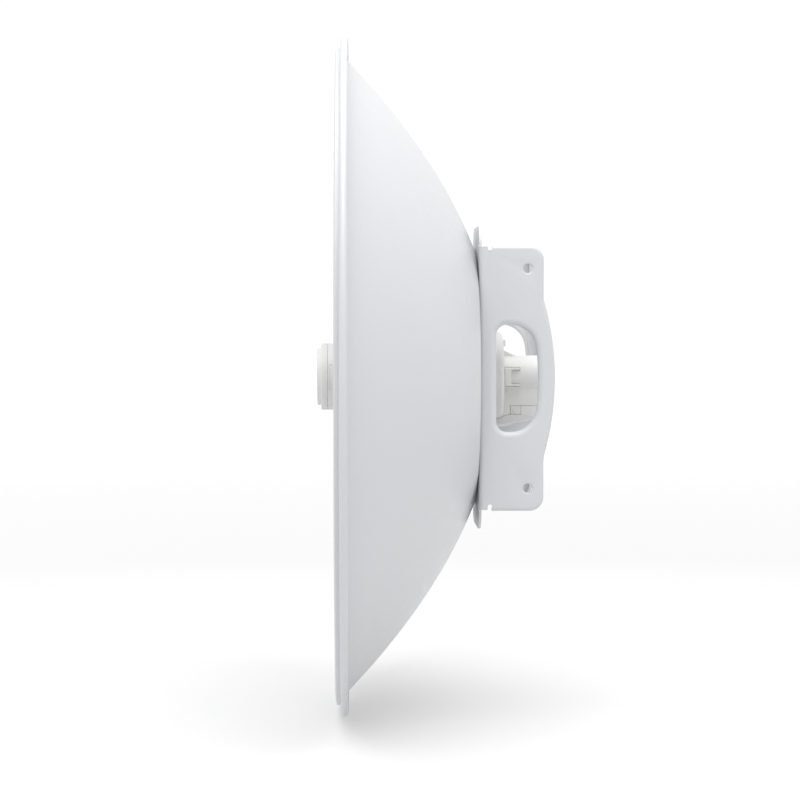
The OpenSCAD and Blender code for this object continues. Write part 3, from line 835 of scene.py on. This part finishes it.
def make_rear_housing():
    inner = BARREL_R - WALL
    front, step = SPIGOT_X
    shell = rounded([
        (0.0, BARREL_REAR), (BARREL_R, BARREL_REAR, 0.9), (BARREL_R, DRUM_X[1]),
        (DRUM_R, DRUM_X[1], DRUM_FILLET), (DRUM_R, DRUM_X[0], 0.5), (DRUM_R - WALL, DRUM_X[0]),
        (DRUM_R - WALL, DRUM_X[1] - WALL), (BARREL_R, DRUM_X[1] - WALL), (BARREL_R, step),
        (SPIGOT_R, step, 0.4), (SPIGOT_R, front, 0.6), (inner, front),
        (inner, BARREL_REAR - WALL), (0.0, BARREL_REAR - WALL),
    ], 6)
    obj = solid_from(lambda bm: turned(bm, shell, 192), "rear_housing_shell")
    carve(obj, bay_walls(inner), "UNION")

    skirt_end = STEP[0] - (STEP[1] - SKIRT_Z) / STEP_SLOPE
    skirt = [(BAY_FRONT, SKIRT_Z), (BAY_FRONT, seam_at(BAY_FRONT)), (skirt_end, SKIRT_Z)]
    for s in (-1, 1):
        y = sorted((s * BAY_HALF_W, s * (BAY_HALF_W - WALL)))
        carve(obj, solid_from(lambda bm: prism(bm, skirt, *y)), "UNION")
    drum_back = DRUM_X[1]
    gusset = [(drum_back - 2, 15), (40.9, 15), (40.9, 19.5), (drum_back, 26.3), (drum_back - 2, 27.2)]
    carve(obj, solid_from(lambda bm: prism(bm, gusset, -5.6, 5.6, 0.9)), "UNION")
    hook = rounded([
        (drum_back - 3, 29.2), (29.6, 29.2, 1.3), (29.6, 35.6, 1.3), (drum_back - 3, 35.6),
    ], 4)
    carve(obj, solid_from(lambda bm: prism(bm, hook, -2.2, 2.2, 0.6)), "UNION")
    boss = [(4.6, DRUM_X[0]), (4.6, drum_back - 1), (2.1, drum_back - 1), (2.1, DRUM_X[0])]
    for y, z in SCREW_SPOTS:
        tool = solid_from(lambda bm: turned(bm, boss, 40))
        tool.data.transform(Matrix.Translation(Vector((0, y, z)) * MM))
        carve(obj, tool, "UNION")

    # the jack and the reset button are reached through the underside of the barrel
    slot_end = BARREL_REAR - WALL - 1
    carve(obj, solid_from(lambda bm: block_mm(bm, (drum_back + 0.5, -10, -25), (slot_end, 10, 0))))
    clip_room = c_outline(MOVE_GAP)
    carve(obj, solid_from(lambda bm: prism(bm, clip_room, -BARREL_R - 5, BARREL_R + 5)))
    # the opening for the status window in the barrel's end
    half_w, half_h = STATUS_HALF
    low = (slot_end, -half_w, STATUS_Z - half_h)
    high = (BARREL_REAR + 1, half_w, STATUS_Z + half_h)
    carve(obj, solid_from(lambda bm: block_mm(bm, low, high)))
    finish_piece(reshade(obj), ["rear_housing"])


def make_clip(side, name):
    """A C-shaped clip whose arms ramp down to the barrel at their tips."""
    outline = c_outline(0.0)
    outer_y = BARREL_R + CLIP_STAND
    block_end = CLIP_X + CLIP_BLOCK

    def build(bm):
        prism(bm, outline, -outer_y, -outer_y + 12, CLIP_EASE, 5)
        for v in bm.verts:
            if v.co.y < -outer_y + CLIP_EASE + 0.01 and v.co.x > block_end:
                t = (v.co.x - block_end) / (CLIP_L - CLIP_BLOCK)
                v.co.y += CLIP_RAMP * t
            v.co.y = v.co.y * -side

    obj = solid_from(build, name + "_moulding")
    gap_r = BARREL_R - WALL + 1.5
    core = [(0.0, 10.0), (gap_r, 10.0), (gap_r, 60.0), (0.0, 60.0)]
    carve(obj, solid_from(lambda bm: turned(bm, core, 128)))
    finish_piece(reshade(obj), [name])


def keel_cutter(bm, side, r):
    """Waste outside a fillet of radius r, between the port cover's side and its sloping underside."""
    past, centre = BAY_HALF_W + 1, BAY_HALF_W - r
    loops = []
    for x in (BAY_FRONT - 2, BARREL_REAR + 2):
        floor = floor_at(x)
        outline = [(side * past, floor + r), (side * past, floor - 1), (side * centre, floor - 1)]
        outline += [(side * (centre + y), floor + r + z) for y, z in arc((0, 0), r, -90, 0, 6)]
        loops.append([bm.verts.new((x, y, z)) for y, z in outline])
    count = len(loops[0])
    for k in range(count):
        j = (k + 1) % count
        bm.faces.new([loops[0][k], loops[0][j], loops[1][j], loops[1][k]])
    for loop in loops:
        fill(bm, [loop])


def make_port_cover():
    x0 = STEP[0] + SEAM_GAP
    top = SEAM_Z - SEAM_GAP
    outline = rounded([
        (x0, top), (BARREL_REAR, top), (BARREL_REAR, floor_at(BARREL_REAR), FLOOR_R),
        (BAY_FRONT, floor_at(BAY_FRONT), FLOOR_R), (BAY_FRONT, seam_at(BAY_FRONT) - SEAM_GAP),
        (x0, STEP[1] - SEAM_GAP),
    ], 5)
    obj = solid_from(
        lambda bm: prism(bm, outline, -BAY_HALF_W, BAY_HALF_W, BAY_BEND), "port_cover_moulding")
    front, back = BAY_FRONT + WALL, BARREL_REAR - WALL
    inside = [(front, 0), (back, 0), (back, floor_at(back) + WALL), (front, floor_at(front) + WALL)]
    carve(obj, solid_from(lambda bm: prism(bm, inside, WALL - BAY_HALF_W, BAY_HALF_W - WALL)))
    under, behind = DRUM_R + SEAM_GAP, DRUM_X[1] + SEAM_GAP
    drum = rounded([(0.0, 0.0), (under, 0.0), (under, behind, DRUM_FILLET), (0.0, behind)], 6)
    carve(obj, solid_from(lambda bm: turned(bm, drum, 192)))
    for s in (-1, 1):
        carve(obj, solid_from(lambda bm: keel_cutter(bm, s, KEEL_R)))
    pad = latch_outline(PAD_GAP)
    carve(obj, solid_from(lambda bm: prism(bm, pad, -BAY_HALF_W - 1, BAY_HALF_W + 1)))
    collar_low = floor_at(GLAND_X + 8) + 0.6
    carve(obj, solid_from(lambda bm: cylinder_mm(bm, GLAND_R + WALL, collar_low, -35, GLAND_X)), "UNION")
    carve(obj, solid_from(lambda bm: cylinder_mm(bm, GLAND_R, -60, -30, GLAND_X)))
    x0, x1 = GLAND_X - 4, GLAND_X + 4
    z0 = floor_at(x0) + 1
    for s in (-1, 1):
        y = s * (BAY_HALF_W - WALL - MOVE_GAP - 0.9)
        tongue = (x0, y - 0.9, z0), (x1, y + 0.9, -21)
        carve(obj, solid_from(lambda bm: block_mm(bm, *tongue)), "UNION")
        y0, y1 = sorted((y, s * (BAY_HALF_W - WALL + 0.1)))
        root = (x0, y0, z0), (x1, y1, SEAM_Z - 2)
        carve(obj, solid_from(lambda bm: block_mm(bm, *root)), "UNION")
    finish_piece(reshade(obj), ["port_cover"])


def latch_outline(grow):
    x0 = STEP[0] + SEAM_GAP - grow
    x1 = STEP[0] + SEAM_GAP + LATCH_L + grow
    low, high = STEP[1] - 0.8 - grow, SEAM_Z - SEAM_GAP + grow
    return [(x0, low), (x1, low), (x1, high), (x0, high)]


def make_latch(side, name):
    """A pad in the corner of the port cover, with a raised chevron and an arm inside."""
    outer = BAY_HALF_W
    middle = STEP[0] + SEAM_GAP + LATCH_L / 2
    chevron = [(-2.8, 1.3), (0, -0.5), (2.8, 1.3), (2.8, -0.3), (0, -2.1), (-2.8, -0.3)]
    arm_x = (STEP[0] + SEAM_GAP + 2, STEP[0] + SEAM_GAP + 8)
    inner = BAY_HALF_W - WALL

    def mirror(bm):
        for v in bm.verts:
            v.co.y *= -side

    def pad(bm):
        prism(bm, rounded([(*p, 0.7) for p in latch_outline(0.0)], 4), -outer - 0.25, -outer + WALL, 0.45)
        mirror(bm)

    def mark(bm):
        prism(bm, [(middle + x, -32.6 + z) for x, z in chevron], -outer - 0.9, -outer + 0.5, 0.3)
        mirror(bm)

    def arm(bm):
        block_mm(bm, (arm_x[0], -inner + 0.75, SEAM_Z - 5), (arm_x[1], -inner + 2.4, SEAM_Z + 5))
        mirror(bm)

    def root(bm):
        block_mm(bm, (arm_x[0], -inner - 0.1, SEAM_Z - 5), (arm_x[1], -inner + 2.4, SEAM_Z - 2))
        mirror(bm)

    obj = solid_from(pad, name + "_pad")
    for tool in (mark, root, arm):
        carve(obj, solid_from(tool), "UNION")
    finish_piece(reshade(obj), [name])


def make_grommet():
    """The cable grommet, turned round the boresight first and then stood upright in its gland."""
    profile = rounded([
        (3.0, -41.0, 0.5), (GLAND_R, -41.0, 0.3), (GLAND_R, -35.0),
        (6.6, -35.0, 0.3), (6.6, -33.5, 0.4), (3.0, -33.5, 0.5),
    ], 3)
    bm = bmesh.new()
    turned(bm, profile, 64)
    for v in bm.verts:
        x, y, z = v.co
        v.co = (GLAND_X + y, z, x)
    finish_piece(as_object("cable_grommet_ring", bm), ["cable_grommet"])


# ---- feed -------------------------------------------------------------------


def make_turned(name, cad_nodes, profile, steps, corner_steps):
    bm = bmesh.new()
    turned(bm, rounded(profile, corner_steps), steps)
    finish_piece(as_object(name, bm), cad_nodes)


def make_front_cover():
    front = HEAD_FRONT - CAP_H
    bow = 0.5
    outline = [(0.0, front)]
    outline += [(CAP_R * k / 8, front + bow * (k / 8) ** 2) for k in range(1, 8)]
    outline += [
        (CAP_R, front + bow, 1.1), (CAP_R, HEAD_FRONT, 0.5), (HEAD_R, HEAD_FRONT, 1.2),
        (HEAD_R, HEAD_SEAM - HEAD_GAP, 0.15), (HEAD_R - WALL, HEAD_SEAM - HEAD_GAP),
        (HEAD_R - WALL, HEAD_FRONT + WALL), (CAP_R - WALL, HEAD_FRONT + WALL),
        (CAP_R - WALL, front + WALL + 0.6), (0.0, front + WALL + 0.6),
    ]
    make_turned("feed_front_cover", ["feed_front_shell"], outline, 192, 6)


def make_rear_cover():
    outline = rounded([
        (TUBE_R, -98.0), (TUBE_R + WALL, -98.0, 0.7), (TUBE_R + WALL, -106.0, 6), (HEAD_R, -128.0, 14),
        (HEAD_R, HEAD_SEAM + HEAD_GAP, 0.15), (HEAD_R - WALL, HEAD_SEAM + HEAD_GAP),
        (HEAD_R - WALL, -129.0), (TUBE_R, -104.6),
    ], 8)
    obj = solid_from(lambda bm: turned(bm, outline, 192), "feed_rear_cover")
    # a shallow grip panel on each side of the head
    floor_r = HEAD_R - GRIP_DEPTH
    groove = rounded([
        (floor_r, GRIP_X[0], 0.3), (HEAD_R + 2, GRIP_X[0]),
        (HEAD_R + 2, GRIP_X[1]), (floor_r, GRIP_X[1], 0.3),
    ], 3)
    band = solid_from(lambda bm: turned(bm, groove, 192))
    low, high = (-150, -40, -GRIP_HALF_H), (-120, 40, GRIP_HALF_H)
    carve(band, solid_from(lambda bm: block_mm(bm, low, high)), "INTERSECT")
    carve(obj, band)
    finish_piece(reshade(obj), ["feed_rear_shell"])


def make_head_seal():
    outer, inner = HEAD_R - 0.7, HEAD_R - 2.1
    front, back = HEAD_SEAM - HEAD_GAP, HEAD_SEAM + HEAD_GAP
    outline = [(outer, front), (outer, back), (inner, back), (inner, front)]
    make_turned("head_seal_ring", ["head_seal"], outline, 128, 4)


def make_feed_tube():
    inner = TUBE_R - 2
    o_ring_floor, clip_floor = TUBE_R - 1.25, TUBE_R - 1
    clip_end = CLIP_X + CLIP_BLOCK
    outline = rounded([
        (inner, -104.0), (TUBE_R, -104.0, 0.4), (TUBE_R, 2.0, 0.2),
        (o_ring_floor, 2.0), (o_ring_floor, 4.0), (TUBE_R, 4.0, 0.2),
        (TUBE_R, CLIP_X, 0.2), (clip_floor, CLIP_X, 0.2), (clip_floor, clip_end, 0.2),
        (TUBE_R, clip_end, 0.2), (TUBE_R, 55.0, 0.2), (inner, 55.0),
    ], 3)
    obj = solid_from(lambda bm: turned(bm, outline, 160), "feed_tube_body")
    # the openings for the network jack and for the reset button
    carve(obj, solid_from(lambda bm: block_mm(bm, (34.5, -9.7, -20), (52.5, 9.7, -8))))
    carve(obj, solid_from(lambda bm: cylinder_mm(bm, 1.95, -20, -10, 29.0, 40)))
    finish_piece(reshade(obj), ["feed_tube"])


# ---- fasteners --------------------------------------------------------------


def turned_at(bm, spots, profile, steps):
    """The same turned outline at each (y, z)."""
    for y, z in spots:
        before = set(bm.verts)
        turned(bm, profile, steps)
        for v in set(bm.verts) - before:
            v.co += Vector((0, y, z))


def make_carriage_bolts():
    crown = -DISH_T - 0.7
    outline = [(0.0, -DISH_T - 3.0)]
    for degrees in range(10, 90, 10):
        t = math.radians(degrees)
        outline.append((8 * math.sin(t), crown - 2.3 * math.cos(t)))
    outline += [
        (8.0, -DISH_T - 0.6, 0.2), (8.0, -DISH_T), (3.0, -DISH_T), (3.0, 12.0, 0.5), (0.0, 12.0),
    ]
    bm = bmesh.new()
    turned_at(bm, BOLT_SPOTS, rounded(outline, 4), 64)
    finish_piece(as_object("carriage_bolt_set", bm), ["carriage_bolts"])


def make_flange_nuts():
    bore_r, face = 3.05, SHEET_T
    flange = rounded([
        (bore_r, face), (6.8, face, 0.2), (6.8, face + 0.9, 0.4), (5.0, face + 1.5), (bore_r, face + 1.5),
    ], 3)
    hexagon = [
        (bore_r, face + 1.3), (5.6, face + 1.3), (5.6, face + 5.5), (5.1, face + 6), (bore_r, face + 6),
    ]
    bm = bmesh.new()
    for spot in BOLT_SPOTS:
        turned_at(bm, [spot], flange, 48)
        turned_at(bm, [spot], hexagon, 6)
    finish_piece(as_object("flange_nut_set", bm), ["flange_nuts"])


def make_housing_screws():
    head, socket_floor = -DISH_T - 2.4, -DISH_T - 0.9
    outline = [
        (0.0, socket_floor), (1.6, socket_floor), (1.6, head, 0.1), (3.6, head, 0.5), (3.6, -DISH_T),
        (2.0, -DISH_T), (2.0, 15.5), (0.0, 15.5),
    ]
    bm = bmesh.new()
    turned_at(bm, SCREW_SPOTS, rounded(outline, 4), 48)
    finish_piece(as_object("housing_screw_set", bm), ["housing_screws"])


# ---- floor, light and camera ------------------------------------------------

KEY_AT = (-0.15, -0.8, 2.7)
KEY_SIZE = (2.6, 2.6)
KEY_POWER = 80
CAMERA_LENS = 106.245
CAMERA_AT = (-115.2, -2280.0, 56.5)
CAMERA_TURN = (1.075, -1.989)


def make_stage():
    """A pale sheet of paper just under the rim, a little brighter away from the object: its colour is
    painted shade, darker near the object to even out the key light's pool and set the shadow's tone, and
    the sheet glows faintly and evenly all over.
    """
    bm = bmesh.new()
    bmesh.ops.create_grid(bm, x_segments=1, y_segments=1, size=40)
    mesh = bpy.data.meshes.new("floor")
    bm.to_mesh(mesh)
    bm.free()
    floor = bpy.data.objects.new("floor", mesh)
    floor.location = (0, 0, REFLECTOR_LOW.z - 0.0002)
    m, shader = new_material("floor_paper", grey(0.7), 0.9, specular=0.0)
    vary(m, shader, grey(0.7), 3, 0.002, 0.9, 0.02)
    where = node(m, "ShaderNodeTexCoord")
    shrink = node(m, "ShaderNodeMapping", Scale=(1 / 6, 1 / 6, 1 / 6))
    spread = node(m, "ShaderNodeTexGradient", gradient_type="SPHERICAL")
    link(m, where, "Object", shrink, "Vector")
    link(m, shrink, "Vector", spread, "Vector")
    # painted shade: the colour runs from 0.5 near the object to 0.8 far off, darkening the key light's pool
    # and the shadow by the rim
    painted_floor_shade = ramp(m, spread, "Fac", [(0.15, grey(0.80)), (0.75, grey(0.50))])
    link(m, painted_floor_shade, "Color", shader, "Base Color")
    shader.inputs["Emission Color"].default_value = (1, 1, 1, 1)
    shader.inputs["Emission Strength"].default_value = 0.32
    mesh.materials.append(m)
    bpy.context.scene.collection.objects.link(floor)


def make_key_light():
    light = bpy.data.lights.new("key", "AREA")
    light.shape = "RECTANGLE"
    light.size, light.size_y = KEY_SIZE
    light.energy = KEY_POWER
    obj = bpy.data.objects.new("key", light)
    obj.location = KEY_AT
    obj.rotation_euler = (SEAT - Vector(KEY_AT)).to_track_quat("-Z", "Y").to_euler()
    bpy.context.scene.collection.objects.link(obj)


def make_room():
    """White surroundings that are darker on the camera's side than behind the object."""
    world = bpy.data.worlds.new("studio")
    world.use_nodes = True
    back = world.node_tree.nodes["Background"]
    back.inputs["Color"].default_value = (1, 1, 1, 1)
    back.inputs["Strength"].default_value = 1.04
    where = node(world, "ShaderNodeTexCoord")
    shift = node(world, "ShaderNodeMapping", Location=(0.5, 0.5, 0.5), Scale=(0.5, 0.5, 0.5))
    split = node(world, "ShaderNodeSeparateXYZ")
    link(world, where, "Generated", shift, "Vector")
    link(world, shift, "Vector", split, "Vector")
    room = ramp(world, split, "Y", [(0.0, grey(0.72)), (0.45, grey(0.78)), (0.75, grey(1.0))])
    link(world, room, "Color", back, "Color")
    bpy.context.scene.world = world


def make_camera():
    camera = bpy.data.cameras.new("photo_view")
    camera.sensor_width = 36
    camera.lens = CAMERA_LENS
    camera.clip_end = 100
    obj = bpy.data.objects.new("photo_view", camera)
    obj.location = place(CAMERA_AT)
    yaw, pitch = math.radians(CAMERA_TURN[0]), math.radians(CAMERA_TURN[1])
    obj.rotation_euler = (math.pi / 2 + pitch, 0, -yaw)
    bpy.context.scene.collection.objects.link(obj)
    bpy.context.scene.camera = obj


bpy.context.scene.view_settings.view_transform = "Standard"
bpy.context.scene.cycles.use_denoising = True
make_camera()
make_stage()
make_room()
make_key_light()
make_reflector()
make_bracket()
make_rear_housing()
make_clip(-1, "release_clip_left")
make_clip(1, "release_clip_right")
make_port_cover()
make_latch(-1, "cover_latch_left")
make_latch(1, "cover_latch_right")
make_grommet()
make_front_cover()
make_rear_cover()
make_feed_tube()
make_carriage_bolts()
make_flange_nuts()
make_housing_screws()
make_head_seal()

replaced = {n for o in bpy.context.scene.objects for n in o.get("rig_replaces", [])}
for name, obj in frame["nodes"].items():
    if name not in replaced:
        obj.data.materials.clear()
        obj.data.materials.append(MATERIALS[SLOT_OF[name]])
